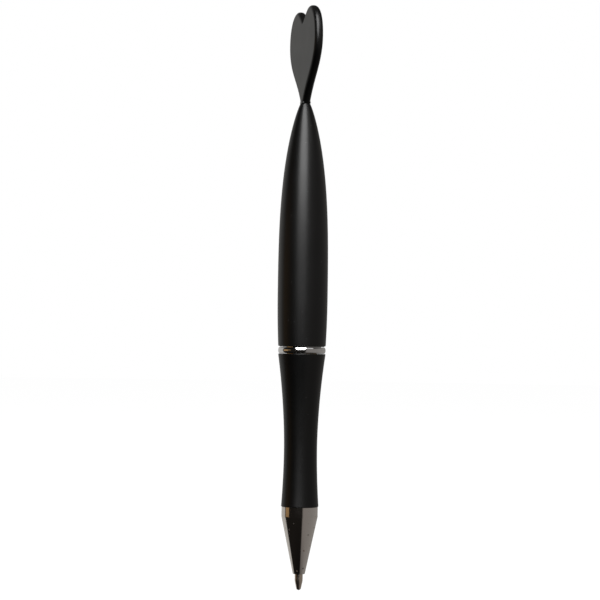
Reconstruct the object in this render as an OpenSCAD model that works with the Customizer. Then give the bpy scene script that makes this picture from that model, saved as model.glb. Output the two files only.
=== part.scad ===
// Twist-action ball point pen with a flat heart finial, point down.
// The origin is the tip of the writing ball. Z runs along the pen, up to the heart, and X runs
// across the lobes of the heart. The point is shown turned out. Millimetres.

/* [Writing point] */
// Diameter of the writing ball
ball_d = 1.0; // [0.7:0.05:1.1]
// Diameter of the tube that holds the ball
point_d = 2.12; // [1.9:0.02:2.2]
// Length of the cone ahead of that tube
point_cone_len = 2.6; // [2:0.1:3]
// How far the point stands out of the nose when it is turned out
point_reach = 4.3; // [3.4:0.1:5.2]

/* [Refill] */
// Overall length of the refill, ball included
refill_len = 98; // [94:0.5:102]
// Outside diameter of the refill's body
refill_d = 5.9; // [5.7:0.05:6]
// Diameter of the refill's neck, where the return spring sits
refill_neck_d = 2.6; // [2.4:0.05:2.7]
// Length of that neck
refill_neck_len = 6.5; // [5.5:0.1:7.5]
// Thickness of the refill's metal tube
refill_wall = 0.25; // [0.2:0.01:0.35]
// Length of the end plug that shows behind the tube
end_plug_len = 4.5; // [4:0.1:6]
// Length of the column of ink in the body
ink_len = 58; // [20:1:64]
// Length of the follower behind the ink
follower_len = 4; // [2:0.5:6]

/* [Return spring] */
// Diameter of the spring wire
spring_wire_d = 0.35; // [0.25:0.01:0.42]
// Number of turns
spring_turns = 9; // [6:1:11]
// Length of the nose's lip ahead of the spring seat
nose_lip_len = 4.4; // [4:0.1:5.5]

/* [Nose cone] */
// Diameter of the nose at its mouth
nose_mouth_d = 3.18; // [2.9:0.02:3.8]
// Length of the straight cone
nose_cone_len = 15.1; // [14:0.1:19]
// Diameter of the collar behind the cone
nose_collar_d = 9.58; // [9.2:0.02:11]
// Length of that collar
nose_collar_len = 2.6; // [1.5:0.1:4]
// Length of the spigot that screws into the grip
nose_spigot_len = 7; // [5:0.5:10]
// Thickness of the spigot's wall
spigot_wall = 0.7; // [0.55:0.05:0.75]

/* [Grip] */
// Length of the grip
grip_len = 40.4; // [39:0.1:56]
// Diameter at the grip's front edge
grip_front_d = 9.9; // [9.6:0.02:11.6]
// Diameter at the waist
grip_waist_d = 8.76; // [8.5:0.02:10.6]
// Diameter at the grip's back edge
grip_back_d = 12.58; // [12:0.02:14.8]
// Distance from the front edge to the waist
grip_waist_at = 15; // [12:0.1:19]
// Thickness of the brass tube inside the grip
grip_tube_wall = 0.35; // [0.25:0.05:0.45]
// Thickness of the threaded insert
insert_wall = 0.45; // [0.35:0.05:0.5]
// Length of the threaded insert
insert_len = 7.4; // [6:0.1:7.6]

/* [Centre ring] */
// Space along the pen that the ring takes up
ring_space = 2; // [1.6:0.1:3]
// Diameter of the ring at its crown
ring_d = 12.54; // [12.2:0.02:15.2]
// How much the ring's edges fall below its crown
ring_fall = 0.23; // [0:0.01:0.4]
// Height of the narrow groove between the ring's crown and the barrel
ring_groove = 0.2; // [0.1:0.01:0.3]

/* [Upper barrel] */
// Length of the upper barrel
barrel_len = 64.4; // [63:0.1:80]
// Diameter at the barrel's front edge
barrel_front_d = 12.6; // [12.2:0.02:14.8]
// Largest diameter of the barrel
barrel_d = 13.26; // [12.9:0.02:15.8]
// Distance from the front edge to the largest diameter
barrel_belly_at = 13.5; // [12:0.1:20]
// Diameter at the barrel's top, under the heart
barrel_top_d = 2.5; // [2.4:0.02:3.2]
// Diameter of the barrel's wide bore
barrel_bore_d = 10.8; // [10.7:0.02:11]
// Length of that wide bore
barrel_bore_len = 32.5; // [20:0.5:34]

/* [Twist mechanism] */
// How far the refill moves when the barrel is turned
refill_travel = 6; // [5:0.1:7.3]
// Turn of the barrel that draws the refill right in
twist_turn = 180; // [150:5:180]
// Diameter of the drive pin
drive_pin_d = 1.2; // [1:0.05:1.5]
// Thickness of the guide tube
guide_wall = 0.4; // [0.3:0.02:0.42]
// Thickness of the coupling's threaded part
coupling_wall = 0.52; // [0.45:0.02:0.54]
// Thickness of the spiral sleeve
sleeve_wall = 0.68; // [0.5:0.02:0.7]
// Thickness of the brass housing
housing_wall = 0.32; // [0.2:0.02:0.34]
// Length of the coupling's head behind the ring
coupling_head_len = 1.8; // [1.2:0.1:2.5]
// Thickness of the friction ring's section
friction_ring_t = 1.16; // [1.14:0.01:1.18]
// Thickness of the retaining clip
clip_t = 0.4; // [0.3:0.05:0.5]
// Length of the bush that centres the housing
bush_len = 5; // [3:0.5:9]

/* [Heart finial] */
// Width across both lobes
heart_w = 26; // [20:0.2:30]
// Height from the neck to the top of the lobes
heart_h = 25.2; // [20:0.2:30]
// Thickness of the plate
heart_t = 2.3; // [2.2:0.05:3]
// Height of the widest place above the neck
heart_widest_at = 16.6; // [13:0.1:17]
// Distance from the middle to the top of each lobe
heart_lobe_at = 6; // [4:0.1:6.5]
// Depth of the notch between the lobes
heart_notch = 3.4; // [2:0.05:4.5]
// Width of the plate where it meets the barrel
heart_neck_w = 2.9; // [2.4:0.1:4]
// Diameter of the stud that holds the heart
stud_d = 1.2; // [1:0.05:1.5]
// Depth that the stud reaches into the heart
stud_depth = 5; // [3:0.5:8]
// Length of the nut inside the barrel
nut_len = 5.4; // [3:0.1:5.5]

/* [Fits] */
// Radial clearance of pieces that turn or slide
running_fit = 0.04; // [0.03:0.01:0.05]
// Radial clearance of the refill in its passage
refill_play = 0.12; // [0.1:0.01:0.15]
// Clearance of pieces that are pressed or glued together
seat_gap = 0.02; // [0.01:0.01:0.03]
// Open seam on each side of the centre ring
seam_gap = 0.08; // [0.05:0.01:0.12]
// Clearance along the pen between inner pieces
end_play = 0.1; // [0.08:0.01:0.15]

/* [Hidden] */
$fn = 96;

// A cut reaches this far past the face that it opens
cut = 1;
// Size of the small bevels that break the outer edges
bevel = 0.15;
// Number of steps along each curved outline
outline_steps = 24;
// How hard the grip flares on both sides of its waist
flare_power = 1.86;
// Shape of the barrel from its belly to its top: fullness, then bluntness
top_fullness = 3;
top_bluntness = 0.86;

// Radii, from the refill outwards
ball_r = ball_d / 2;
point_r = point_d / 2;
refill_r = refill_d / 2;
neck_r = refill_neck_d / 2;
neck_bore_r = neck_r - refill_wall;
refill_bore_r = refill_r - refill_wall;
passage_r = refill_r + refill_play;
mouth_bore_r = point_r + 0.06;
spring_inner_r = neck_r + refill_play;
spring_outer_r = spring_inner_r + spring_wire_d;
chamber_r = spring_outer_r + refill_play;
spring_seat_r = spring_outer_r + seat_gap;
spigot_r = passage_r + spigot_wall;
grip_tube_r = passage_r + grip_tube_wall;
guide_r = passage_r + guide_wall;
coupling_bore_r = guide_r + seat_gap;
coupling_r = coupling_bore_r + coupling_wall;
insert_bore_r = coupling_r + running_fit;
insert_r = insert_bore_r + insert_wall;
sleeve_bore_r = guide_r + running_fit;
sleeve_r = sleeve_bore_r + sleeve_wall;
housing_bore_r = sleeve_r + seat_gap;
housing_r = housing_bore_r + housing_wall;
nut_r = passage_r - end_play;
wide_bore_r = barrel_bore_d / 2;
hub_r = housing_r + running_fit;
head_r = wide_bore_r - end_play;
clip_groove_r = guide_r - 0.22;
clip_r = housing_bore_r - 0.26;
pin_r = drive_pin_d / 2;
slot_r = pin_r + 0.06;
stud_r = stud_d / 2;

// Stations along the pen, from the ball to the top of the heart
z_mouth = point_reach;
z_seat = z_mouth + nose_lip_len;
z_neck = z_seat + 0.4;
z_step = z_neck + refill_neck_len;
refill_cone_len = 1.1;
z_body = z_step + refill_cone_len;
z_cone_end = z_mouth + nose_cone_len;
z_grip = z_cone_end + nose_collar_len;
z_spigot_end = z_grip + nose_spigot_len;
z_ring = z_grip + grip_len;
z_barrel = z_ring + ring_space;
z_heart = z_barrel + barrel_len;
pen_len = z_heart + heart_h;
z_ring_front = z_ring + seam_gap;
z_ring_back = z_barrel - seam_gap;
z_insert = z_ring - insert_len;
z_head = z_ring_back + seat_gap;
z_head_end = z_head + coupling_head_len;
friction_ring_r = friction_ring_t / 2;
z_neck_end = z_head_end + friction_ring_t + 2 * seat_gap;
z_sleeve = z_neck_end + end_play;
z_plug = refill_len - end_plug_len;
z_plunger = refill_len + seat_gap;
plunger_len = 6;
z_pin = z_plunger + plunger_len / 2;
z_pin_in = z_pin + refill_travel;
z_sleeve_end = z_pin_in + 2;
z_clip = z_sleeve_end + end_play;
z_guide_end = z_clip + clip_t + 0.7;
z_housing_end = z_guide_end + end_play;
z_close_bore_end = z_housing_end + 0.3;
z_nut = z_close_bore_end + 1.4;
z_nut_end = z_nut + nut_len;
z_nut_bore_end = z_nut_end + seat_gap;

// Helix of the cam: a slot as tall as the pin needs on the slope of the sleeve's middle
cam_pitch = refill_travel * 360 / twist_turn;
cam_mid_r = (sleeve_bore_r + sleeve_r) / 2;
cam_lead = atan(cam_pitch / (2 * PI * cam_mid_r));
cam_slot_h = 2 * slot_r / cos(cam_lead);
cam_slot_angle = cam_slot_h / cam_pitch * 360;

// A plain tube between two stations
module tube(z0, z1, r_in, r_out) {
    rotate_extrude()
        translate([r_in, z0])
            square([r_out - r_in, z1 - z0]);
}

// A plain rod between two stations
module rod(z0, z1, r) {
    translate([0, 0, z0])
        cylinder(h = z1 - z0, r = r);
}

// A hole across the pen, from one side to the other
module cross_hole(z, r, reach) {
    translate([0, 0, z])
        rotate([0, 90, 0])
            cylinder(h = 2 * reach, r = r, center = true);
}

// Radius of the grip at a station: a waist that flares both ways
function grip_radius(z) =
    let(from_waist = z - z_grip - grip_waist_at)
    let(span = from_waist < 0 ? grip_waist_at : grip_len - grip_waist_at)
    let(edge_d = from_waist < 0 ? grip_front_d : grip_back_d)
    grip_waist_d / 2 + (edge_d - grip_waist_d) / 2 * pow(abs(from_waist) / span, flare_power);

// Radius of the upper barrel at a station: a soft belly, then a blunt taper to the top
function barrel_radius(z) =
    let(from_belly = z - z_barrel - barrel_belly_at)
    let(s = abs(from_belly) / (from_belly < 0 ? barrel_belly_at : barrel_len - barrel_belly_at))
    from_belly < 0
        ? (barrel_d - (barrel_d - barrel_front_d) * s * s) / 2
        : barrel_top_d / 2
          + (barrel_d - barrel_top_d) / 2 * pow(max(0, 1 - pow(s, top_fullness)), top_bluntness);

// Points of a cubic curve from a to d, without its first point
function curve(a, b, c, d) =
    [for (i = [1:outline_steps])
        let(t = i / outline_steps)
        let(u = 1 - t)
        u * u * u * a + 3 * u * u * t * b + 3 * u * t * t * c + t * t * t * d];

// Outline of the heart: three curves up its right side, and the same points again on its left
module heart_outline() {
    neck = [heart_neck_w / 2, 0];
    side = [heart_w / 2, heart_widest_at];
    lobe = [heart_lobe_at, heart_h];
    notch = [0, heart_h - heart_notch];
    right = concat(
        [neck],
        curve(neck, neck + [4.1, 6.6], side - [0, 7.3], side),
        curve(side, side + [0, 6.2], lobe + [2.8, 0], lobe),
        curve(lobe, lobe - [2.1, 0], notch + [1.85, 1.4], notch));
    left = [for (i = [len(right) - 2:-1:0]) [-right[i][0], right[i][1]]];
    polygon(concat(right, left));
}

module heart_finial() {
    color("dimgray")
        difference() {
            translate([0, heart_t / 2, z_heart])
                rotate([90, 0, 0])
                    linear_extrude(height = heart_t)
                        heart_outline();
            rod(z_heart - cut, z_heart + stud_depth + end_play, stud_r + seat_gap);
        }
}

module heart_stud() {
    color("silver")
        rod(z_nut + 0.6, z_heart + stud_depth, stud_r);
}

module finial_nut() {
    slot_w = 0.9;
    color("goldenrod")
        difference() {
            rod(z_nut, z_nut_end, nut_r);
            rod(z_nut - cut, z_nut_end + cut, stud_r + seat_gap);
            translate([-nut_r - cut, -slot_w / 2, z_nut - cut])
                cube([2 * (nut_r + cut), slot_w, cut + 0.9]);
        }
}

module upper_barrel() {
    color("black")
        rotate_extrude()
            polygon(concat(
                [[wide_bore_r, z_barrel],
                 [barrel_front_d / 2 - bevel, z_barrel],
                 [barrel_front_d / 2, z_barrel + bevel]],
                [for (i = [1:outline_steps * 2])
                    let(z = z_barrel + bevel + (barrel_len - bevel) * i / (outline_steps * 2))
                    [barrel_radius(z), z]],
                [[stud_r + running_fit, z_heart],
                 [stud_r + running_fit, z_nut_bore_end],
                 [nut_r + seat_gap, z_nut_bore_end],
                 [nut_r + seat_gap, z_close_bore_end],
                 [housing_r + seat_gap, z_close_bore_end],
                 [housing_r + seat_gap, z_barrel + barrel_bore_len],
                 [wide_bore_r, z_barrel + barrel_bore_len]]));
}

module sleeve_housing() {
    color("gold")
        tube(z_sleeve, z_housing_end, housing_bore_r, housing_r);
}

// The hole that the pin needs when the barrel has turned this far
module cam_hole(turn) {
    rotate([0, 0, -turn])
        translate([0, 0, z_pin + refill_travel * turn / twist_turn])
            rotate([0, 90, 0])
                cylinder(h = sleeve_r + cut, r = slot_r);
}

// One helical slot through the sleeve: a twisted band, with the pin's own hole stepped
// round the helix at each end, so that the slot ends round where the pin stops
module cam_slot() {
    end_turn = 14;
    hole_step = 4;
    band_turn = twist_turn - 2 * end_turn;
    band_h = refill_travel * band_turn / twist_turn;
    reach = sleeve_r + cut;
    half_w = reach * tan(cam_slot_angle / 2);
    translate([0, 0, z_pin + (refill_travel - band_h) / 2])
        rotate([0, 0, -end_turn])
            linear_extrude(height = band_h, twist = band_turn, slices = 30, $fn = 4)
                polygon([[0, 0], [reach, -half_w], [reach, half_w]]);
    for (turn = [0:hole_step:2 * end_turn]) {
        cam_hole(turn);
        cam_hole(twist_turn - turn);
    }
}

module spiral_sleeve() {
    color("whitesmoke")
        difference() {
            tube(z_sleeve, z_sleeve_end, sleeve_bore_r, sleeve_r);
            cam_slot();
            rotate([0, 0, 180])
                cam_slot();
        }
}

module lower_bush() {
    color("ivory")
        tube(z_sleeve + 0.6, z_sleeve + 0.6 + bush_len,
             housing_r + seat_gap, wide_bore_r - seat_gap);
}

module friction_ring() {
    color("darkslategray")
        translate([0, 0, z_head_end + seat_gap + friction_ring_r])
            rotate_extrude()
                translate([wide_bore_r - seat_gap - friction_ring_r, 0])
                    circle(r = friction_ring_r);
}

module retaining_clip() {
    opening = 2 * clip_groove_r * sin(35);
    color("lightsteelblue")
        difference() {
            tube(z_clip, z_clip + clip_t, clip_groove_r + seat_gap, clip_r);
            translate([0, -opening / 2, z_clip - cut])
                cube([clip_r + cut, opening, clip_t + 2 * cut]);
        }
}

// Straight slots in both sides of the guide tube, for the whole travel of the pin
module straight_slots() {
    reach = guide_r + cut;
    cross_hole(z_pin, slot_r, reach);
    cross_hole(z_pin_in, slot_r, reach);
    translate([-reach, -slot_r, z_pin])
        cube([2 * reach, 2 * slot_r, refill_travel]);
}

module guide_tube() {
    groove = clip_t + 2 * seat_gap;
    color("khaki")
        difference() {
            tube(z_insert + 1.6, z_guide_end, passage_r, guide_r);
            straight_slots();
            tube(z_clip - seat_gap, z_clip - seat_gap + groove, clip_groove_r, guide_r + cut);
        }
}

module threaded_coupling() {
    color("darkgoldenrod")
        rotate_extrude()
            polygon([[coupling_bore_r, z_insert + 0.6],
                     [coupling_r - 0.3, z_insert + 0.6],
                     [coupling_r, z_insert + 0.9],
                     [coupling_r, z_ring_front],
                     [hub_r, z_ring_front],
                     [hub_r, z_head],
                     [head_r, z_head],
                     [head_r, z_head_end],
                     [wide_bore_r - friction_ring_t - 2 * seat_gap, z_head_end],
                     [wide_bore_r - friction_ring_t - 2 * seat_gap, z_neck_end],
                     [coupling_bore_r, z_neck_end]]);
}

module centre_ring() {
    half = (z_ring_back - ring_groove - z_ring_front) / 2;
    groove_r = hub_r + seat_gap + 0.5;
    color("gainsboro")
        rotate_extrude()
            polygon(concat(
                [[hub_r + seat_gap, z_ring_back],
                 [hub_r + seat_gap, z_ring_front]],
                [for (i = [0:12])
                    let(s = i / 6 - 1)
                    [ring_d / 2 - ring_fall * s * s, z_ring_front + half * (1 + s)]],
                [[groove_r, z_ring_back - ring_groove],
                 [groove_r, z_ring_back]]));
}

module drive_pin() {
    color("slategray")
        translate([0, 0, z_pin])
            rotate([0, 90, 0])
                cylinder(h = 2 * (housing_bore_r - 0.14), r = pin_r, center = true);
}

module plunger() {
    color("white")
        difference() {
            union() {
                rod(z_plunger, z_plunger + plunger_len, passage_r - running_fit);
                rod(z_plunger - 2, z_plunger + cut, 1.2);
            }
            cross_hole(z_pin, pin_r + seat_gap, passage_r + cut);
        }
}

module thread_insert() {
    color("peru")
        tube(z_insert, z_ring, insert_bore_r, insert_r);
}

module grip_tube() {
    color("gold")
        tube(z_spigot_end + 2 * end_play, z_insert - 2 * end_play, passage_r, grip_tube_r);
}

module grip_shell() {
    color("darkslategray")
        rotate_extrude()
            polygon(concat(
                [[spigot_r + seat_gap, z_grip],
                 [grip_front_d / 2 - bevel, z_grip],
                 [grip_front_d / 2, z_grip + bevel]],
                [for (i = [1:outline_steps + 6])
                    let(z = z_grip + bevel + (grip_len - 2 * bevel) * i / (outline_steps + 6))
                    [grip_radius(z), z]],
                [[grip_back_d / 2 - bevel, z_ring],
                 [insert_r + seat_gap, z_ring],
                 [insert_r + seat_gap, z_insert - end_play],
                 [grip_tube_r + seat_gap, z_insert - end_play],
                 [grip_tube_r + seat_gap, z_spigot_end + end_play],
                 [spigot_r + seat_gap, z_spigot_end + end_play]]));
}

module nose_cone() {
    widening = refill_cone_len;
    color("lightgray")
        rotate_extrude()
            polygon([[mouth_bore_r, z_mouth],
                     [nose_mouth_d / 2 - 0.1, z_mouth],
                     [nose_mouth_d / 2, z_mouth + 0.1],
                     [nose_collar_d / 2, z_cone_end],
                     [nose_collar_d / 2, z_grip],
                     [spigot_r, z_grip],
                     [spigot_r, z_spigot_end - 0.3],
                     [spigot_r - 0.3, z_spigot_end],
                     [passage_r, z_spigot_end],
                     [passage_r, z_step - end_play + widening],
                     [chamber_r, z_step - end_play],
                     [chamber_r, z_seat],
                     [mouth_bore_r, z_seat]]);
}

// The spring is a round wire swept along a helix, six sides to the wire
module return_spring() {
    sides = 6;
    steps_a_turn = 14;
    steps = spring_turns * steps_a_turn;
    mean_r = (spring_inner_r + spring_outer_r) / 2;
    wire_r = spring_wire_d / 2;
    z_low = z_seat + seat_gap + wire_r;
    rise = z_step - seat_gap - wire_r - z_low;
    points = [for (i = [0:steps])
        let(angle = 360 * i / steps_a_turn)
        for (k = [0:sides - 1])
            let(r = mean_r + wire_r * cos(360 * k / sides))
            [r * cos(angle), r * sin(angle), z_low + rise * i / steps + wire_r * sin(360 * k / sides)]];
    walls = [for (i = [0:steps - 1])
        for (k = [0:sides - 1])
            let(next = (k + 1) % sides)
            [i * sides + k, i * sides + next, (i + 1) * sides + next, (i + 1) * sides + k]];
    color("silver")
        polyhedron(
            points = points,
            faces = concat(
                [[for (k = [sides - 1:-1:0]) k]],
                walls,
                [[for (k = [0:sides - 1]) steps * sides + k]]));
}

module refill_tube() {
    inner_step = z_step + refill_wall;
    color("lightsteelblue")
        rotate_extrude()
            polygon([[neck_bore_r, z_neck],
                     [neck_r, z_neck],
                     [neck_r, z_step],
                     [spring_seat_r, z_step],
                     [refill_r, z_body],
                     [refill_r, z_plug],
                     [refill_bore_r, z_plug],
                     [refill_bore_r, z_body + refill_wall],
                     [spring_seat_r - refill_wall, inner_step],
                     [neck_bore_r, inner_step]]);
}

module refill_end_plug() {
    notch_w = 1.2;
    notch_h = 1.6;
    color("dimgray")
        difference() {
            union() {
                rod(z_plug + seat_gap, refill_len, refill_r - 0.05);
                rod(z_plug - 2.5, z_plug + cut, refill_bore_r - seat_gap);
            }
            rod(refill_len - 2.6, refill_len + cut, 1.3);
            for (turn = [0, 60, 120])
                rotate([0, 0, turn])
                    translate([-refill_r - cut, -notch_w / 2, refill_len - notch_h])
                        cube([2 * (refill_r + cut), notch_w, notch_h + cut]);
        }
}

module ink() {
    ink_r = refill_bore_r - seat_gap;
    neck_ink_r = neck_bore_r - seat_gap;
    z_body_ink = z_body + refill_wall + seat_gap;
    color("midnightblue")
        rotate_extrude()
            polygon([[0, z_neck + 4 + seat_gap],
                     [neck_ink_r, z_neck + 4 + seat_gap],
                     [neck_ink_r, z_step + refill_wall + seat_gap],
                     [ink_r, z_body_ink + seat_gap],
                     [ink_r, z_body_ink + ink_len],
                     [0, z_body_ink + ink_len]]);
}

module ink_follower() {
    z_follower = z_body + refill_wall + seat_gap + ink_len + seat_gap;
    color("wheat")
        rod(z_follower, z_follower + follower_len, refill_bore_r - seat_gap);
}

module refill_point() {
    lip_z = ball_r / 2;
    channel_r = 0.35;
    color("tan")
        difference() {
            rotate_extrude()
                polygon([[0, lip_z],
                         [ball_r, lip_z],
                         [point_r - 0.07, point_cone_len - 0.4],
                         [point_r, point_cone_len + 0.1],
                         [point_r, z_neck - seat_gap],
                         [neck_bore_r - seat_gap, z_neck - seat_gap],
                         [neck_bore_r - seat_gap, z_neck + 4],
                         [0, z_neck + 4]]);
            translate([0, 0, ball_r])
                sphere(r = ball_r + seat_gap);
            rod(ball_r, z_neck + 4 + cut, channel_r);
        }
}

module ball() {
    color("gray")
        translate([0, 0, ball_r])
            sphere(r = ball_r);
}

heart_finial();
heart_stud();
finial_nut();
upper_barrel();
sleeve_housing();
spiral_sleeve();
lower_bush();
friction_ring();
retaining_clip();
guide_tube();
threaded_coupling();
centre_ring();
drive_pin();
plunger();
thread_insert();
grip_tube();
grip_shell();
nose_cone();
return_spring();
refill_tube();
refill_end_plug();
ink();
ink_follower();
refill_point();
ball();
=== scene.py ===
import math
import bmesh
import bpy
from mathutils import Matrix, Vector


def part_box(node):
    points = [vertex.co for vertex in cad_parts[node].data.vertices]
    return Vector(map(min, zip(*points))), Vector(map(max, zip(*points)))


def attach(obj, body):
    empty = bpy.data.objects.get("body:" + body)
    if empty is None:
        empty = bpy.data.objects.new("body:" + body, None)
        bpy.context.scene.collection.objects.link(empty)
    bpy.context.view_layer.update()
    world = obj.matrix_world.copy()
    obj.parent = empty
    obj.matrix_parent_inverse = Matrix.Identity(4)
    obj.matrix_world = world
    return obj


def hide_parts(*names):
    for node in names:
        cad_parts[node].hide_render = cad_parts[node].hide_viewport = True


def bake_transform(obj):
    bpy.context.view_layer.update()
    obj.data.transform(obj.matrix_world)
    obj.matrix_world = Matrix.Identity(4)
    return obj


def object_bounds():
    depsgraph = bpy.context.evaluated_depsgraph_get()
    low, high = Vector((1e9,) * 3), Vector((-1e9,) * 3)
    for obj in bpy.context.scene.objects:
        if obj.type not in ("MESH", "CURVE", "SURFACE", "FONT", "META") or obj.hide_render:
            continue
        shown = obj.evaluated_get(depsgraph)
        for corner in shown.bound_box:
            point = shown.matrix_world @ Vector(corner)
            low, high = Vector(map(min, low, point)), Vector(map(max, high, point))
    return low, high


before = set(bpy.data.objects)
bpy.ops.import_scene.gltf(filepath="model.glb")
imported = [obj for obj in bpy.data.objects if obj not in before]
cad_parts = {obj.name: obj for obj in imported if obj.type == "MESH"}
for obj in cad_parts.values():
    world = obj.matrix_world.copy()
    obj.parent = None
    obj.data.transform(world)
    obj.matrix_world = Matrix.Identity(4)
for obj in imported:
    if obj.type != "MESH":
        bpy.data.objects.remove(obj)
cad_box = [list(corner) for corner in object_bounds()]

# ---------------------------------------------------------------- camera
# A long lens half a metre away, a little below the middle of the pen. The pen stands point
# down and leans less than a degree. The heart is seen almost edge on, with its near lobe to
# the right.
eye_round = math.radians(74.5)
eye_away = 0.530
eye_height = 0.065
aim_height = 0.07663
side_step = 0.00069
pen_lean = 0.81
toward_eye = Vector((math.sin(eye_round), -math.cos(eye_round), 0))
rightward = Vector((math.cos(eye_round), math.sin(eye_round), 0))
eye = toward_eye * eye_away + Vector((0, 0, eye_height)) - rightward * side_step
aim = Vector((0, 0, aim_height)) - rightward * side_step
lens = bpy.data.cameras.new("camera")
lens.lens = 120.05
lens.sensor_width = 36
lens.clip_start = 0.02
lens.clip_end = 20
camera = bpy.data.objects.new("camera", lens)
bpy.context.scene.collection.objects.link(camera)
looking = (aim - eye).to_track_quat("-Z", "Y").to_matrix().to_4x4()
camera.matrix_world = (Matrix.Translation(eye) @ looking
                       @ Matrix.Rotation(math.radians(pen_lean), 4, "Z"))
bpy.context.scene.camera = camera
bpy.context.scene.view_settings.view_transform = "Standard"

# ---------------------------------------------------------------- studio
# White paper under and behind the pen, one big soft box high in front, a weak fill card to its
# right, black card from the front round to the left, and grey walls the rest of the way. A
# strip of wood at the left, level with the pen, shows as a brown patch in the polished metal.


def started(name, sockets):
    """A new material whose shader has these sockets set."""
    material = bpy.data.materials.new(name)
    material.use_nodes = True
    shader = material.node_tree.nodes["Principled BSDF"]
    for socket, value in sockets.items():
        shader.inputs[socket].default_value = value
    return material


def wired(owner, kind, sockets, **settings):
    """Adds a node to a material or a world. A socket's value is a number, a colour or the
    output of another node."""
    node = owner.node_tree.nodes.new(kind)
    for key, value in settings.items():
        setattr(node, key, value)
    for key, value in sockets.items():
        if isinstance(value, bpy.types.NodeSocket):
            owner.node_tree.links.new(value, node.inputs[key])
        else:
            node.inputs[key].default_value = value
    return node


def lit_paper(name, glow, white):
    """Matt paper that is lit evenly from behind."""
    return started(name, {"Base Color": (white, white, white, 1), "Roughness": 0.9,
                          "Specular IOR Level": 0, "Emission Color": (1, 1, 1, 1),
                          "Emission Strength": glow})


def paper_sheet(name, shape, paper):
    """A sheet that the camera sees, and that the pen doesn't mirror."""
    mesh = bpy.data.meshes.new(name)
    shape.to_mesh(mesh)
    shape.free()
    mesh.materials.append(paper)
    sheet = bpy.data.objects.new(name, mesh)
    bpy.context.scene.collection.objects.link(sheet)
    sheet.visible_glossy = False
    sheet.visible_diffuse = False
    sheet.visible_transmission = False
    return sheet


ground = bmesh.new()
bmesh.ops.create_circle(ground, cap_ends=True, segments=96, radius=3.0)
paper_sheet("floor", ground, lit_paper("table paper", 0.985, 0.08))
surround = bmesh.new()
bmesh.ops.create_uvsphere(surround, u_segments=48, v_segments=24, radius=3.2)
backdrop = paper_sheet("backdrop", surround, lit_paper("backdrop paper", 1.0, 0.0))
backdrop.visible_shadow = False

# The walls are the world behind the paper. Directions round the pen are in degrees from +X,
# growing towards -Y, and each stop is (direction, red, green, blue). The walls fade where
# they meet the table and the ceiling.
black_card = (0.009, 0.008, 0.007)
pale_wall = (0.42, 0.415, 0.40)
walls = [(-180, *pale_wall), (-140, 0.26, 0.25, 0.24), (-70, 0.20, 0.19, 0.182),
         (-8, 0.178, 0.165, 0.157), (0, *black_card), (118, *black_card), (126, *pale_wall),
         (145, *pale_wall), (160, 0.47, 0.465, 0.45), (180, *pale_wall)]
world = bpy.data.worlds.new("studio walls")
world.use_nodes = True
world.node_tree.nodes.clear()
bpy.context.scene.world = world
toward = wired(world, "ShaderNodeTexCoord", {}).outputs["Generated"]
parts = wired(world, "ShaderNodeSeparateXYZ", {"Vector": toward}).outputs
forward = wired(world, "ShaderNodeMath", {0: parts["Y"], 1: -1},
                operation="MULTIPLY").outputs[0]
direction = wired(world, "ShaderNodeMath", {0: forward, 1: parts["X"]},
                  operation="ARCTAN2").outputs[0]
share = wired(world, "ShaderNodeMapRange",
              {"Value": direction, "From Min": -math.pi, "From Max": math.pi})
wall_ramp = wired(world, "ShaderNodeValToRGB", {"Fac": share.outputs["Result"]})
stops = wall_ramp.color_ramp.elements
for place, (degrees, *colour) in enumerate(walls):
    at = (degrees + 180) / 360
    stop = stops[place] if place < 2 else stops.new(at)
    stop.position = at
    stop.color = (*colour, 1)
near_table = wired(world, "ShaderNodeMapRange",
                   {"Value": parts["Z"], "From Min": -0.62, "From Max": -0.48, "To Min": 0.3})
near_ceiling = wired(world, "ShaderNodeMapRange",
                     {"Value": parts["Z"], "From Min": 0.3, "From Max": 0.7,
                      "To Min": 1, "To Max": 0.12})
strength = wired(world, "ShaderNodeMath",
                 {0: near_table.outputs["Result"], 1: near_ceiling.outputs["Result"]},
                 operation="MULTIPLY")
wall_light = wired(world, "ShaderNodeBackground",
                   {"Color": wall_ramp.outputs["Color"], "Strength": strength.outputs[0]})
wired(world, "ShaderNodeOutputWorld", {"Surface": wall_light.outputs["Background"]})
pen_middle = Vector((0, 0, (cad_box[0][2] + cad_box[1][2]) / 2))


def soft_box(name, round_from, round_to, low, high, brightness, colour=(1, 1, 1), away=1.2):
    """A flat light that fills these directions, in degrees round the pen and above level, as
    seen from the middle of the pen."""
    middle = math.radians((round_from + round_to) / 2)
    rise = math.radians((low + high) / 2)
    width = 2 * away * math.tan(math.radians((round_to - round_from) / 2))
    height = 2 * away * math.tan(math.radians((high - low) / 2))
    out = Vector((math.cos(middle) * math.cos(rise), -math.sin(middle) * math.cos(rise),
                  math.sin(rise)))
    lamp = bpy.data.lights.new(name, "AREA")
    lamp.shape = "RECTANGLE"
    lamp.size = width
    lamp.size_y = height
    lamp.color = colour
    lamp.energy = brightness * math.pi * width * height
    box = bpy.data.objects.new(name, lamp)
    bpy.context.scene.collection.objects.link(box)
    box.matrix_world = (Matrix.Translation(out * away + pen_middle)
                        @ out.to_track_quat("Z", "Y").to_matrix().to_4x4())
    box.visible_camera = False
    return box


wood_brown = (1.0, 0.62, 0.28)
soft_box("key soft box", 0, 43.5, 12, 72, 5.5)
soft_box("fill card", -45, -3, 28, 58, 0.5)
soft_box("wooden strip", 87, 115.5, -9, 9, 0.27, wood_brown)
soft_box("wooden strip, narrow end", 71, 87, -1, 7, 0.22, wood_brown)

# ---------------------------------------------------------------- writing ball
# A ground and polished carbide ball, one millimetre across. It rolls in the socket that is
# swaged over it, so that only its lower half shows.
MM = 0.001
HAIR = 0.000001
ball_r = 0.5


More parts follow.
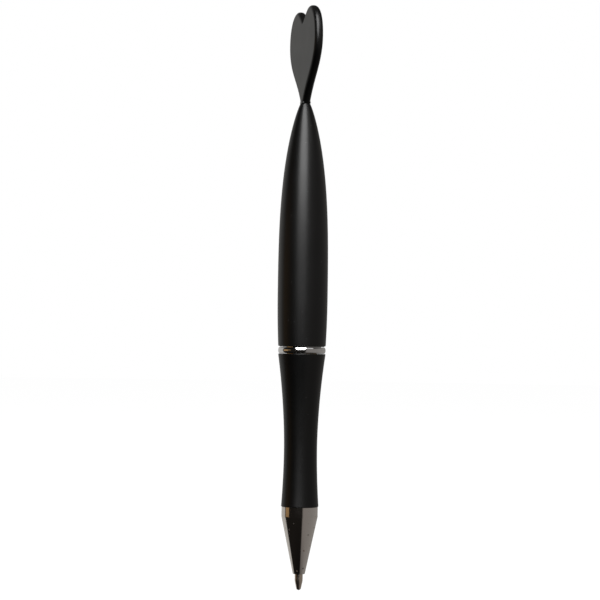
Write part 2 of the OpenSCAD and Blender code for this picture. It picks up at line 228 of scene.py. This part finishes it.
def ends(node):
    """The lowest and the highest level of a CAD node, in millimetres above the ball's tip."""
    low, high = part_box(node)
    return low.z / MM, high.z / MM


def eased(outline):
    """The outline with its corners rounded: a point is (radius, height) or, for a corner
    that a tool has broken, (radius, height, how much)."""
    corner_steps = 6
    points = []
    for at, corner in enumerate(outline):
        if len(corner) < 3:
            points.append(corner)
            continue
        here = Vector(corner[:2])
        back = (Vector(outline[at - 1][:2]) - here).normalized() * corner[2]
        on = (Vector(outline[(at + 1) % len(outline)][:2]) - here).normalized() * corner[2]
        for step in range(corner_steps + 1):
            t = step / corner_steps
            points.append(tuple(here + back * (1 - t) ** 2 + on * t ** 2))
    return points


def turned(name, outline, finish, body, stands_for, sides=192, closed=False,
           thread=None, crease=28):
    """A piece turned on a lathe from its outline of (radius, height) in millimetres. A thread
    is (radius it is cut on, lower end, upper end, pitch, depth into the metal). Its root is
    a little rounder than its crest, and it runs out at both ends."""
    outline = eased(outline)
    flank_power = 1.3
    if thread:
        cut_on, low, high, pitch, depth = thread
        step_length = pitch / 8
        fine = []
        for at, (r, z) in enumerate(outline):
            fine.append((r, z))
            r2, z2 = outline[(at + 1) % len(outline)]
            last = at == len(outline) - 1 and not closed
            if abs(r - cut_on) < HAIR and abs(r2 - cut_on) < HAIR and not last:
                steps = max(1, int(abs(z2 - z) / step_length))
                fine += [(cut_on, z + (z2 - z) * k / steps) for k in range(1, steps)]
        outline = fine
    shape = bmesh.new()
    rings = []
    for r, z in outline:
        if r < HAIR:
            rings.append([shape.verts.new((0, 0, z * MM))])
            continue
        ring = []
        for k in range(sides):
            angle = 2 * math.pi * k / sides
            reach = r
            if thread and abs(r - cut_on) < HAIR and low < z < high:
                wave = ((z - low) / pitch - k / sides) % 1
                fade = min(1, (z - low) / pitch, (high - z) / pitch)
                reach = r - depth * fade * (1 - abs(2 * wave - 1) ** flank_power)
            ring.append(shape.verts.new((reach * MM * math.cos(angle),
                                         reach * MM * math.sin(angle), z * MM)))
        rings.append(ring)
    pairs = list(zip(rings, rings[1:]))
    if closed:
        pairs.append((rings[-1], rings[0]))
    for lower, upper in pairs:
        for k in range(sides):
            corners = [lower[k % len(lower)], lower[(k + 1) % len(lower)],
                       upper[(k + 1) % len(upper)], upper[k % len(upper)]]
            corners = list(dict.fromkeys(corners))
            if len(corners) > 2:
                shape.faces.new(corners)
    bmesh.ops.recalc_face_normals(shape, faces=shape.faces)
    return made(name, shape, finish, body, stands_for, crease)


def made(name, shape, finish, body, stands_for, crease=28):
    """The finished piece: smooth, but crisp where two faces meet at more than the crease."""
    mesh = bpy.data.meshes.new(name)
    shape.to_mesh(mesh)
    shape.free()
    mesh.shade_smooth()
    mesh.set_sharp_from_angle(angle=math.radians(crease))
    mesh.materials.append(finish)
    piece = bpy.data.objects.new(name, mesh)
    bpy.context.scene.collection.objects.link(piece)
    if body:
        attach(piece, body)
    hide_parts(*stands_for)
    return piece


def joined(material, base, rough, relief):
    """Joins a colour, a roughness and a relief to the material's shader."""
    shader = material.node_tree.nodes["Principled BSDF"]
    links = material.node_tree.links
    links.new(base, shader.inputs["Base Color"])
    links.new(rough, shader.inputs["Roughness"])
    links.new(relief, shader.inputs["Normal"])
    return material


def bare_metal(name, colour, roughness, tool_marks=0.3, handled=0.06, specks=0.0, shade=0.05):
    """Metal off the lathe: fine rings where the tool passed, faint marks from handling, and
    scattered rough brown specks of tarnish, as strong as specks says, from 0 to 1."""
    metal = started(name, {"Metallic": 1})
    place = wired(metal, "ShaderNodeTexCoord", {}).outputs["Object"]
    drawn_out = wired(metal, "ShaderNodeMapping",
                      {"Vector": place, "Scale": (60, 60, 9000)}).outputs["Vector"]
    rings = wired(metal, "ShaderNodeTexNoise",
                  {"Vector": drawn_out, "Scale": 1.0, "Detail": 3.0}).outputs["Fac"]
    touch = wired(metal, "ShaderNodeTexNoise",
                  {"Vector": place, "Scale": 260.0, "Detail": 5.0,
                   "Roughness": 0.62}).outputs["Fac"]
    scatter = wired(metal, "ShaderNodeTexVoronoi", {"Vector": place, "Scale": 620.0}).outputs
    chance = wired(metal, "ShaderNodeSeparateColor", {"Color": scatter["Color"]}).outputs
    present = wired(metal, "ShaderNodeMath", {0: chance["Green"], 1: 0.2},
                    operation="GREATER_THAN").outputs[0]
    spot = wired(metal, "ShaderNodeMapRange",
                 {"Value": scatter["Distance"], "From Min": 0.08, "From Max": 0.18,
                  "To Min": specks, "To Max": 0.0}).outputs["Result"]
    speck = wired(metal, "ShaderNodeMath", {0: spot, 1: present}, operation="MULTIPLY").outputs[0]
    tone = wired(metal, "ShaderNodeMapRange",
                 {"Value": touch, "From Min": 0.3, "From Max": 0.7,
                  "To Min": 1 - shade, "To Max": 1 + shade * 0.4}).outputs["Result"]
    clean = wired(metal, "ShaderNodeVectorMath", {0: colour, "Scale": tone}, operation="SCALE")
    tarnish = wired(metal, "ShaderNodeVectorMath",
                    {0: (0.34, 0.2, 0.12), "Scale": chance["Red"]}, operation="SCALE")
    # Several sockets of the mixing node share a name, so the colour ones go by their numbers.
    first_colour, second_colour, mixed_colour = 6, 7, 2
    base = wired(metal, "ShaderNodeMix",
                 {"Factor": speck, first_colour: clean.outputs[0],
                  second_colour: tarnish.outputs[0]}, data_type="RGBA").outputs[mixed_colour]
    rough = wired(metal, "ShaderNodeMapRange",
                  {"Value": touch, "From Min": 0.3, "From Max": 0.7,
                   "To Min": roughness * (1 - handled), "To Max": roughness * (1 + 4 * handled)})
    worn = wired(metal, "ShaderNodeMath",
                 {0: speck, 1: 0.6, 2: rough.outputs["Result"]}, operation="MULTIPLY_ADD")
    relief = wired(metal, "ShaderNodeBump",
                   {"Height": rings, "Strength": tool_marks, "Distance": 0.000004})
    return joined(metal, base, worn.outputs[0], relief.outputs["Normal"])


carbide = bare_metal("polished carbide", (0.26, 0.2, 0.18), 0.16, tool_marks=0.1)
ball_steps = 32
meridian = []
for k in range(ball_steps + 1):
    angle = math.pi * k / ball_steps
    meridian.append((ball_r * math.sin(angle), ball_r * (1 - math.cos(angle))))
turned("writing_ball", meridian, carbide, "ball", ["ball"], sides=64)

# ---------------------------------------------------------------- writing point
# Turned from nickel silver wire. A swaged lip holds the ball, a cone runs back to the straight
# tube, and a stepped shank is pressed into the neck of the refill.
point_r = 1.06
swage_r = 0.54
socket_r = 0.44
ink_hole_r = 0.35
neck_bore_r = 1.05
seat_gap = 0.02
shank_r = neck_bore_r - seat_gap
z_swage, z_shank_end = ends("refill_point")
z_shank = ends("refill_tube")[0]
z_socket_end = 0.9
z_cone_end = 2.7
nickel_silver = bare_metal("nickel silver", (0.80, 0.69, 0.58), 0.2, tool_marks=0.5,
                           handled=0.1, shade=0.12)
turned("writing_point",
       [(ink_hole_r, z_socket_end), (socket_r, ball_r), (ball_r, z_swage + 0.02),
        (swage_r, z_swage, 0.02), (swage_r + 0.06, z_swage + 0.17, 0.05),
        (point_r - 0.07, z_cone_end - 0.5, 0.05), (point_r, z_cone_end, 0.1),
        (point_r, z_shank - 0.6), (point_r, z_shank - 0.16, 0.1), (shank_r, z_shank, 0.02),
        (shank_r, z_shank_end - 0.1, 0.1), (ink_hole_r, z_shank_end)],
       nickel_silver, "refill", ["refill_point"], sides=128, closed=True)

# ---------------------------------------------------------------- refill tube
# Thin steel tube, 5.9 mm across, drawn down to a short neck that the return spring sits on,
# and crimped on its end plug. It is nickel plated, with faint draw marks along its length.
refill_r = 5.9 / 2
refill_wall = 0.25
refill_bore_r = refill_r - refill_wall
neck_r = neck_bore_r + refill_wall
shoulder_r = 1.79
crimp_depth = 0.08
z_tube_end = ends("refill_tube")[1]
z_crimp = z_tube_end - 3.1
z_step = z_shank + 6.5
z_body = z_step + 1.1


def drawn_steel(name, colour, roughness):
    """Drawn metal: marks that run along the piece, and a faint bloom on the plating."""
    steel = started(name, {"Metallic": 1})
    place = wired(steel, "ShaderNodeTexCoord", {}).outputs["Object"]
    along = wired(steel, "ShaderNodeMapping", {"Vector": place, "Scale": (5200, 5200, 60)})
    marks = wired(steel, "ShaderNodeTexNoise",
                  {"Vector": along.outputs["Vector"], "Scale": 1.0, "Detail": 4.0}).outputs["Fac"]
    bloom = wired(steel, "ShaderNodeTexNoise",
                  {"Vector": place, "Scale": 180.0, "Detail": 6.0}).outputs["Fac"]
    tone = wired(steel, "ShaderNodeMapRange", {"Value": marks, "To Min": 0.86, "To Max": 1.08})
    base = wired(steel, "ShaderNodeVectorMath",
                 {0: colour, "Scale": tone.outputs["Result"]}, operation="SCALE")
    rough = wired(steel, "ShaderNodeMapRange",
                  {"Value": bloom, "From Min": 0.3, "From Max": 0.7,
                   "To Min": roughness * 0.8, "To Max": roughness * 1.3})
    relief = wired(steel, "ShaderNodeBump",
                   {"Height": marks, "Strength": 0.35, "Distance": 0.000006})
    return joined(steel, base.outputs[0], rough.outputs["Result"], relief.outputs["Normal"])


plated_steel = drawn_steel("plated steel", (0.62, 0.61, 0.6), 0.26)
turned("refill_tube_drawn",
       [(neck_bore_r, z_shank), (neck_r, z_shank, 0.08), (neck_r, z_step, 0.15),
        (shoulder_r, z_step, 0.08), (refill_r, z_body, 0.3), (refill_r, z_crimp),
        (refill_r - crimp_depth, z_crimp + 0.3), (refill_r - crimp_depth, z_crimp + 0.6),
        (refill_r, z_crimp + 0.9), (refill_r, z_tube_end, 0.08), (refill_bore_r, z_tube_end),
        (refill_bore_r, z_body + refill_wall), (shoulder_r - refill_wall, z_step + refill_wall),
        (neck_bore_r, z_step + refill_wall)],
       plated_steel, "refill", ["refill_tube"], closed=True)

# ---------------------------------------------------------------- ink and follower
# A column of dark ink paste fills the tube, and a plug of clear yellow grease follows it down.
# Neither shows unless the tube is opened, so both keep their plain shape.


def thick_paste(name, colour, roughness, clearness):
    """A paste with streaks and a wet surface."""
    paste = started(name, {"Subsurface Weight": clearness, "Subsurface Scale": 0.0008,
                           "Coat Weight": 0.6, "Coat Roughness": 0.05})
    place = wired(paste, "ShaderNodeTexCoord", {}).outputs["Object"]
    streaks = wired(paste, "ShaderNodeTexNoise",
                    {"Vector": place, "Scale": 400.0, "Detail": 5.0, "Distortion": 1.5})
    tone = wired(paste, "ShaderNodeMapRange",
                 {"Value": streaks.outputs["Fac"], "To Min": 0.75, "To Max": 1.2})
    base = wired(paste, "ShaderNodeVectorMath",
                 {0: colour, "Scale": tone.outputs["Result"]}, operation="SCALE")
    rough = wired(paste, "ShaderNodeMapRange",
                  {"Value": streaks.outputs["Fac"], "To Min": roughness * 0.7,
                   "To Max": roughness * 1.4})
    relief = wired(paste, "ShaderNodeBump",
                   {"Height": streaks.outputs["Fac"], "Strength": 0.2, "Distance": 0.00003})
    return joined(paste, base.outputs[0], rough.outputs["Result"], relief.outputs["Normal"])


def refinished(node, material):
    """Gives a node that keeps its CAD shape its own finish."""
    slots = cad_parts[node].data.materials
    slots.clear()
    slots.append(material)


refinished("ink", thick_paste("ink paste", (0.012, 0.012, 0.05), 0.2, 0.0))
refinished("ink_follower", thick_paste("follower grease", (0.7, 0.56, 0.22), 0.15, 0.5))

# ---------------------------------------------------------------- refill end plug
# Moulded in grey plastic and pressed into the tube. Its six castle notches are where the
# plunger of the mechanism pushes, and a hole down the middle lets air in behind the grease.


def moulded(name, colour, roughness, grain=900.0, sink=0.00001, clearness=0.0):
    """Injection moulded plastic: a faint spark-eroded grain and slow flow marks."""
    plastic = started(name, {"IOR": 1.5, "Subsurface Weight": clearness,
                             "Subsurface Scale": 0.001})
    place = wired(plastic, "ShaderNodeTexCoord", {}).outputs["Object"]
    pebble = wired(plastic, "ShaderNodeTexNoise",
                   {"Vector": place, "Scale": grain * 4, "Detail": 3.0}).outputs["Fac"]
    flow = wired(plastic, "ShaderNodeTexNoise",
                 {"Vector": place, "Scale": 120.0, "Detail": 4.0,
                  "Distortion": 0.8}).outputs["Fac"]
    tone = wired(plastic, "ShaderNodeMapRange", {"Value": flow, "To Min": 0.9, "To Max": 1.08})
    base = wired(plastic, "ShaderNodeVectorMath",
                 {0: colour, "Scale": tone.outputs["Result"]}, operation="SCALE")
    rough = wired(plastic, "ShaderNodeMapRange",
                  {"Value": flow, "To Min": roughness * 0.85, "To Max": roughness * 1.15})
    relief = wired(plastic, "ShaderNodeBump",
                   {"Height": pebble, "Strength": 0.4, "Distance": sink})
    return joined(plastic, base.outputs[0], rough.outputs["Result"], relief.outputs["Normal"])


grey_plastic = moulded("grey moulding", (0.09, 0.09, 0.1), 0.42)
refinished("refill_end_plug", grey_plastic)

# ---------------------------------------------------------------- return spring
# Nine turns of stainless steel wire, 0.35 mm thick, round the neck of the refill. It pushes
# the refill back, and on the real pen it grows longer as the point goes in; this coil is built at
# one length.
wire_r = 0.35 / 2
coil_r = neck_r + 0.12 + wire_r
spring_turns = 9
steps_round = 40
steps_round_wire = 10
z_seat = z_shank - 0.4
spring_low = z_seat + seat_gap + wire_r
spring_high = z_step - seat_gap - wire_r
spring_wire = drawn_steel("spring wire", (0.55, 0.54, 0.53), 0.22)
coil = bmesh.new()
previous = None
for step in range(spring_turns * steps_round + 1):
    angle = 2 * math.pi * step / steps_round
    share_up = step / (spring_turns * steps_round)
    level = spring_low + (spring_high - spring_low) * share_up
    ring = []
    for k in range(steps_round_wire):
        tilt = 2 * math.pi * k / steps_round_wire
        r = coil_r + wire_r * math.cos(tilt)
        ring.append(coil.verts.new((r * MM * math.cos(angle), r * MM * math.sin(angle),
                                    (level + wire_r * math.sin(tilt)) * MM)))
    if previous:
        for k in range(steps_round_wire):
            n = (k + 1) % steps_round_wire
            coil.faces.new([previous[k], previous[n], ring[n], ring[k]])
    else:
        coil.faces.new(ring)
    previous = ring
coil.faces.new(previous)
bmesh.ops.recalc_face_normals(coil, faces=coil.faces)
spring = made("coiled_spring", coil, spring_wire, None, ["return_spring"])
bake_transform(spring)

# ---------------------------------------------------------------- nose cone
# Turned brass, polished and plated a little darker than the ring: a straight cone, a plain
# collar and a threaded spigot that screws into the grip.
mouth_r = 1.59
mouth_bore_r = 1.12
chamber_r = 1.89
passage_r = 3.07
collar_r = 4.79
spigot_r = 3.77
z_mouth, z_spigot_end = ends("nose_cone")
z_grip, z_ring_gap = ends("grip_shell")
z_collar = z_grip - 2.6
z_chamber_end = z_seat + 6.8
z_passage = z_chamber_end + 1.1
thread_pitch = 0.5
nose_plate = bare_metal("nose plating", (0.90, 0.85, 0.80), 0.085, tool_marks=0.05,
                        handled=0.1, specks=0.9, shade=0.04)
turned("nose_cone_turned",
       [(mouth_bore_r, z_mouth, 0.05), (mouth_r, z_mouth, 0.09), (collar_r, z_collar, 0.12),
        (collar_r, z_grip), (spigot_r, z_grip), (spigot_r, z_spigot_end - 0.3, 0.1),
        (spigot_r - 0.3, z_spigot_end, 0.05), (passage_r, z_spigot_end, 0.05),
        (passage_r, z_passage), (chamber_r, z_chamber_end), (chamber_r, z_seat, 0.05),
        (mouth_bore_r, z_seat, 0.05)],
       nose_plate, "front", ["nose_cone"], sides=256, closed=True,
       thread=(spigot_r, z_grip + 0.9, z_spigot_end - 0.4, thread_pitch, 0.16))

# ---------------------------------------------------------------- grip
# A brass tube inside a turned shell with a matt black soft coat. It draws in to a waist
# behind the nose and flares to meet the centre ring.
waist_r = 4.38
grip_front_r = 4.95
grip_back_r = 6.29
waist_at = 15.0
grip_len = z_ring_gap - z_grip
flare_power = 1.86
edge_break = 0.15
end_gap = 0.1
grip_bore_r = 3.44
insert_r = 4.53
z_insert = ends("thread_insert")[0]


def grip_radius(z):
    """How thick the grip is at a level: least at the waist, and more both ways from it."""
    from_waist = z - z_grip - waist_at
    span = waist_at if from_waist < 0 else grip_len - waist_at
    edge = grip_front_r if from_waist < 0 else grip_back_r
    return waist_r + (edge - waist_r) * (abs(from_waist) / span) ** flare_power


def black_coat(name, depth, roughness, weave, dust, gloss=0.5):
    """Sprayed black coat: orange peel, a fine dry grain in the film and a little dust."""
    coat = started(name, {"IOR": 1.5, "Specular IOR Level": gloss})
    place = wired(coat, "ShaderNodeTexCoord", {}).outputs["Object"]
    peel = wired(coat, "ShaderNodeTexNoise",
                 {"Vector": place, "Scale": 900.0, "Detail": 2.0}).outputs["Fac"]
    grain = wired(coat, "ShaderNodeTexNoise",
                  {"Vector": place, "Scale": 5200.0, "Detail": 4.0}).outputs["Fac"]
    patch = wired(coat, "ShaderNodeTexNoise",
                  {"Vector": place, "Scale": 130.0, "Detail": 5.0,
                   "Roughness": 0.6}).outputs["Fac"]
    fluff = wired(coat, "ShaderNodeTexVoronoi", {"Vector": place, "Scale": 420.0})
    speck = wired(coat, "ShaderNodeMapRange",
                  {"Value": fluff.outputs["Distance"], "From Min": 0.02, "From Max": 0.07,
                   "To Min": dust, "To Max": 0.0}).outputs["Result"]
    tone = wired(coat, "ShaderNodeMapRange",
                 {"Value": patch, "To Min": depth * 0.8, "To Max": depth * 1.25})
    lifted = wired(coat, "ShaderNodeMath", {0: tone.outputs["Result"], 1: speck},
                   operation="ADD").outputs[0]
    base = wired(coat, "ShaderNodeVectorMath", {0: (1.0, 0.99, 1.01), "Scale": lifted},
                 operation="SCALE")
    dull = wired(coat, "ShaderNodeMapRange",
                 {"Value": patch, "From Min": 0.3, "From Max": 0.7,
                  "To Min": roughness * 0.95, "To Max": roughness * 1.06})
    fine = wired(coat, "ShaderNodeBump",
                 {"Height": grain, "Strength": weave, "Distance": 0.00001})
    soft = wired(coat, "ShaderNodeBump",
                 {"Height": peel, "Strength": 0.2, "Distance": 0.00001,
                  "Normal": fine.outputs["Normal"]})
    return joined(coat, base.outputs[0], dull.outputs["Result"], soft.outputs["Normal"])


soft_coat = black_coat("soft grip coat", 0.0010, 0.35, 0.35, 0.05, gloss=0.42)
grip_steps = 120
grip_side = []
for k in range(grip_steps + 1):
    z = z_grip + edge_break + (grip_len - 2 * edge_break) * k / grip_steps
    grip_side.append((grip_radius(z), z))
turned("grip_coated",
       [(spigot_r + seat_gap, z_grip), (grip_front_r - edge_break, z_grip, 0.05)] + grip_side
       + [(grip_back_r - edge_break, z_ring_gap, 0.05), (insert_r + seat_gap, z_ring_gap),
          (insert_r + seat_gap, z_insert - end_gap), (grip_bore_r, z_insert - end_gap),
          (grip_bore_r, z_spigot_end + end_gap), (spigot_r + seat_gap, z_spigot_end + end_gap)],
       soft_coat, "front", ["grip_shell"], sides=256, closed=True)

# ---------------------------------------------------------------- grip tube and insert
# Thin brass tube that stiffens the grip, and a brass insert with an inside thread at the
# open end, which takes the coupling of the upper half.
brass = bare_metal("turned brass", (0.76, 0.55, 0.25), 0.2, tool_marks=0.6, handled=0.12,
                   shade=0.12)
insert_bore_r = 4.08
refinished("grip_tube", brass)
turned("insert_threaded",
       [(insert_bore_r, z_insert, 0.1), (insert_r, z_insert, 0.1), (insert_r, z_ring_gap, 0.08),
        (insert_bore_r, z_ring_gap, 0.15)],
       brass, "front", ["thread_insert"], closed=True,
       thread=(insert_bore_r, z_insert + 0.3, z_ring_gap - 0.3, thread_pitch, -0.2))

# ---------------------------------------------------------------- coupling
# Turned brass, pressed on the guide tube. Its outside thread screws into the grip, and its
# head turns in the mouth of the upper barrel behind the centre ring.
coupling_bore_r = 3.49
coupling_r = 4.01
hub_r = 4.57
head_r = 5.3
friction_groove_r = 4.2
z_coupling, z_coupling_end = ends("threaded_coupling")
z_ring_front, z_ring_back = ends("centre_ring")
z_head = z_ring_back + seat_gap
z_head_end = z_head + 1.8
turned("coupling_threaded",
       [(coupling_bore_r, z_coupling), (coupling_r - 0.25, z_coupling, 0.05),
        (coupling_r, z_coupling + 0.3, 0.08), (coupling_r, z_ring_front),
        (hub_r, z_ring_front, 0.05), (hub_r, z_head), (head_r, z_head, 0.08),
        (head_r, z_head_end, 0.08), (friction_groove_r, z_head_end),
        (friction_groove_r, z_coupling_end, 0.06), (coupling_bore_r, z_coupling_end)],
       brass, "mechanism", ["threaded_coupling"], closed=True,
       thread=(coupling_r, z_coupling + 0.3, z_ring_front - 0.88, thread_pitch, 0.2))

# ---------------------------------------------------------------- centre ring
# Polished and plated brass band between the two halves, held under the coupling's head. It is
# softly crowned, with a dark open seam on each side and a groove for the barrel's lip.
ring_r = 6.27
ring_fall = 0.36
rim_groove = 0.2
rim_groove_r = hub_r + 0.52
half_band = (z_ring_back - rim_groove - z_ring_front) / 2
crown_steps = 48
crown = []
for k in range(crown_steps + 1):
    rise = math.sin(math.pi * (k / crown_steps - 0.5))
    crown.append((ring_r - ring_fall * (1 - math.sqrt(max(0, 1 - rise * rise))),
                  z_ring_front + half_band * (1 + rise)))
ring_plate = bare_metal("ring plating", (0.92, 0.915, 0.91), 0.075, tool_marks=0.02,
                        handled=0.08, specks=0.1, shade=0.03)
turned("centre_ring_polished",
       [(hub_r + seat_gap, z_ring_back), (hub_r + seat_gap, z_ring_front)] + crown
       + [(rim_groove_r, z_ring_back - rim_groove), (rim_groove_r, z_ring_back)],
       ring_plate, "mechanism", ["centre_ring"], sides=256, closed=True,
       crease=50)

# ---------------------------------------------------------------- guide tube and its clip
# Brass tube with a straight slot down each side, which keeps the drive pin from turning. A
# sprung steel clip near its end holds the whole mechanism together.
refinished("guide_tube", brass)
refinished("retaining_clip", plated_steel)

# ---------------------------------------------------------------- friction ring
# A black rubber ring in the groove behind the coupling's head. It drags on the bore of the
# barrel, so that the pen turns smoothly and stays where it is left.
seal_rubber = moulded("seal rubber", (0.012, 0.012, 0.012), 0.62, grain=700.0, sink=0.00002)
refinished("friction_ring", seal_rubber)

# ---------------------------------------------------------------- drive pin and plunger
# A ground steel pin across a moulded plunger. The pin rides in the slots of the guide tube
# and the spiral sleeve, and the plunger pushes on the end of the refill.
white_acetal = moulded("natural acetal", (0.74, 0.73, 0.68), 0.38, clearness=0.15)
refinished("drive_pin", plated_steel)
refinished("plunger", white_acetal)

# ---------------------------------------------------------------- spiral sleeve
# Moulded sleeve with a helical slot down each side. It turns with the barrel and draws the
# pin, and so the refill, up and down. A moulded bush below centres its housing in the barrel.
refinished("spiral_sleeve", white_acetal)
refinished("lower_bush", white_acetal)

# ---------------------------------------------------------------- sleeve housing
# Thin drawn brass tube, pressed over the spiral sleeve, which its slots would otherwise let
# spread, and glued into the upper barrel.
refinished("sleeve_housing", brass)

# ---------------------------------------------------------------- upper barrel
# Turned metal under satin black lacquer. It is fullest a little above the ring, and tapers in
# one long curve to a narrow top under the heart. A small lip at its mouth sits in the ring.
z_barrel, z_neck = ends("upper_barrel")
barrel_len = z_neck - z_barrel
belly_at = 13.5
belly_r = 6.63
barrel_front_r = 6.3
barrel_top_r = 1.25
fullness = 3.0
bluntness = 0.86
lip_r = 5.95
lip_low = z_barrel - 0.16
wide_bore_r = 5.4
housing_bore_r = 4.55
nut_bore_r = 2.99
stud_bore_r = 0.64
z_nut, z_nut_end = ends("finial_nut")
z_wide_bore_end = z_barrel + 32.5
z_housing_bore_end = ends("sleeve_housing")[1] + 0.45
z_nut_bore_end = z_nut_end + 0.15


def barrel_radius(z):
    """How thick the barrel is at a level: a slow swell up to the belly, then the long taper."""
    from_belly = z - z_barrel - belly_at
    if from_belly < 0:
        share = from_belly / belly_at
        return belly_r - (belly_r - barrel_front_r) * share * share
    share = min(1, from_belly / (barrel_len - belly_at))
    return barrel_top_r + (belly_r - barrel_top_r) * (1 - share ** fullness) ** bluntness


satin_lacquer = black_coat("satin black lacquer", 0.0014, 0.345, 0.2, 0.05)
barrel_steps = 240
closer_at_top = 1.5
barrel_side = []
for k in range(barrel_steps + 1):
    share_up = 1 - (1 - k / barrel_steps) ** closer_at_top
    z = z_barrel + edge_break + (barrel_len - edge_break) * share_up
    barrel_side.append((barrel_radius(z), z))
turned("upper_barrel_lacquered",
       [(wide_bore_r, lip_low, 0.04), (lip_r, lip_low, 0.04), (lip_r, z_barrel),
        (barrel_front_r - edge_break, z_barrel, 0.06)] + barrel_side
       + [(stud_bore_r, z_neck), (stud_bore_r, z_nut_bore_end), (nut_bore_r, z_nut_bore_end),
          (nut_bore_r, z_housing_bore_end), (housing_bore_r, z_housing_bore_end),
          (housing_bore_r, z_wide_bore_end), (wide_bore_r, z_wide_bore_end)],
       satin_lacquer, "upper", ["upper_barrel"], sides=256, closed=True)

# ---------------------------------------------------------------- heart stud and nut
# A steel stud with a rolled thread, screwed into the heart. A brass nut inside the top of
# the barrel draws the heart down tight, and a slot across the nut takes the driver.
stud_r = 0.6
z_stud = z_nut + 0.65
z_stud_end = ends("heart_stud")[1]
turned("heart_stud_threaded",
       [(0, z_stud), (stud_r - 0.12, z_stud, 0.05), (stud_r, z_stud + 0.13),
        (stud_r, z_stud_end - 0.2), (stud_r - 0.15, z_stud_end), (0, z_stud_end)],
       plated_steel, "upper", ["heart_stud"], sides=64,
       thread=(stud_r, z_stud + 0.23, z_stud_end - 0.3, 0.25, 0.08))
refinished("finial_nut", brass)

# ---------------------------------------------------------------- heart finial
# A flat heart cut from 2.3 mm plate, with its edges rounded over and the same satin black
# lacquer as the barrel. It stands on the barrel's narrow top, held by the stud.
heart_low, heart_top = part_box("heart_finial")
heart_wide, heart_thick, heart_high = (heart_top - heart_low) / MM
widest_at = 16.6
lobe_at = 6.0
notch_deep_in = 3.4
edge_round = 1.0
rim_steps = 8
neck = Vector((1.35, 0))
side = Vector((heart_wide / 2, widest_at))
lobe = Vector((lobe_at, heart_high))
notch = Vector((0, heart_high - notch_deep_in))
neck_pull = Vector((4.1, 6.6))
side_pull_down = Vector((0, -7.3))
side_pull_up = Vector((0, 6.2))
lobe_pull_out = Vector((2.8, 0))
lobe_pull_in = Vector((-2.1, 0))
notch_pull = Vector((1.85, 1.4))


def bend(a, b, c, d, steps):
    """Points on the smooth bend from a to d that b and c pull, without its first point."""
    points = []
    for k in range(1, steps + 1):
        t = k / steps
        points.append(a * (1 - t) ** 3 + b * 3 * t * (1 - t) ** 2 + c * 3 * t * t * (1 - t)
                      + d * t ** 3)
    return points


right = [neck]
right += bend(neck, neck + neck_pull, side + side_pull_down, side, 64)
right += bend(side, side + side_pull_up, lobe + lobe_pull_out, lobe, 64)
right += bend(lobe, lobe + lobe_pull_in, notch + notch_pull, notch, 40)
edge = right + [Vector((-point.x, point.y)) for point in reversed(right[:-1])]


def drawn_in(line, by):
    """The heart's edge moved in by a distance. It doesn't cross over in the middle, and its
    foot stays on the barrel."""
    nearly_nothing = 0.01
    moved = []
    for k, point in enumerate(line):
        along = (line[(k + 1) % len(line)] - line[k - 1]).normalized()
        inward = point + Vector((-along.y, along.x)) * by
        if point.x > nearly_nothing:
            inward.x = max(inward.x, 2 * nearly_nothing)
        elif point.x < -nearly_nothing:
            inward.x = min(inward.x, -2 * nearly_nothing)
        if point.y < nearly_nothing:
            inward.y = 0
        moved.append(inward)
    return moved


plate = bmesh.new()
half_thick = heart_thick / 2
levels = [(edge_round + 0.25, -half_thick)]
for k in range(rim_steps + 1):
    angle = math.radians(90 * k / rim_steps)
    levels.append((edge_round * (1 - math.sin(angle)),
                   -half_thick + edge_round * (1 - math.cos(angle))))
levels += [(by, -y) for by, y in reversed(levels)]
rims = []
for by, y in levels:
    rims.append([plate.verts.new((point.x * MM, y * MM, (z_neck + point.y) * MM))
                 for point in drawn_in(edge, by)])
for low_rim, high_rim in zip(rims, rims[1:]):
    for k in range(len(edge)):
        n = (k + 1) % len(edge)
        plate.faces.new([low_rim[k], low_rim[n], high_rim[n], high_rim[k]])
plate.faces.new(rims[0])
plate.faces.new(rims[-1])
bmesh.ops.recalc_face_normals(plate, faces=plate.faces)
made("heart_lacquered", plate, satin_lacquer, "upper", ["heart_finial"])
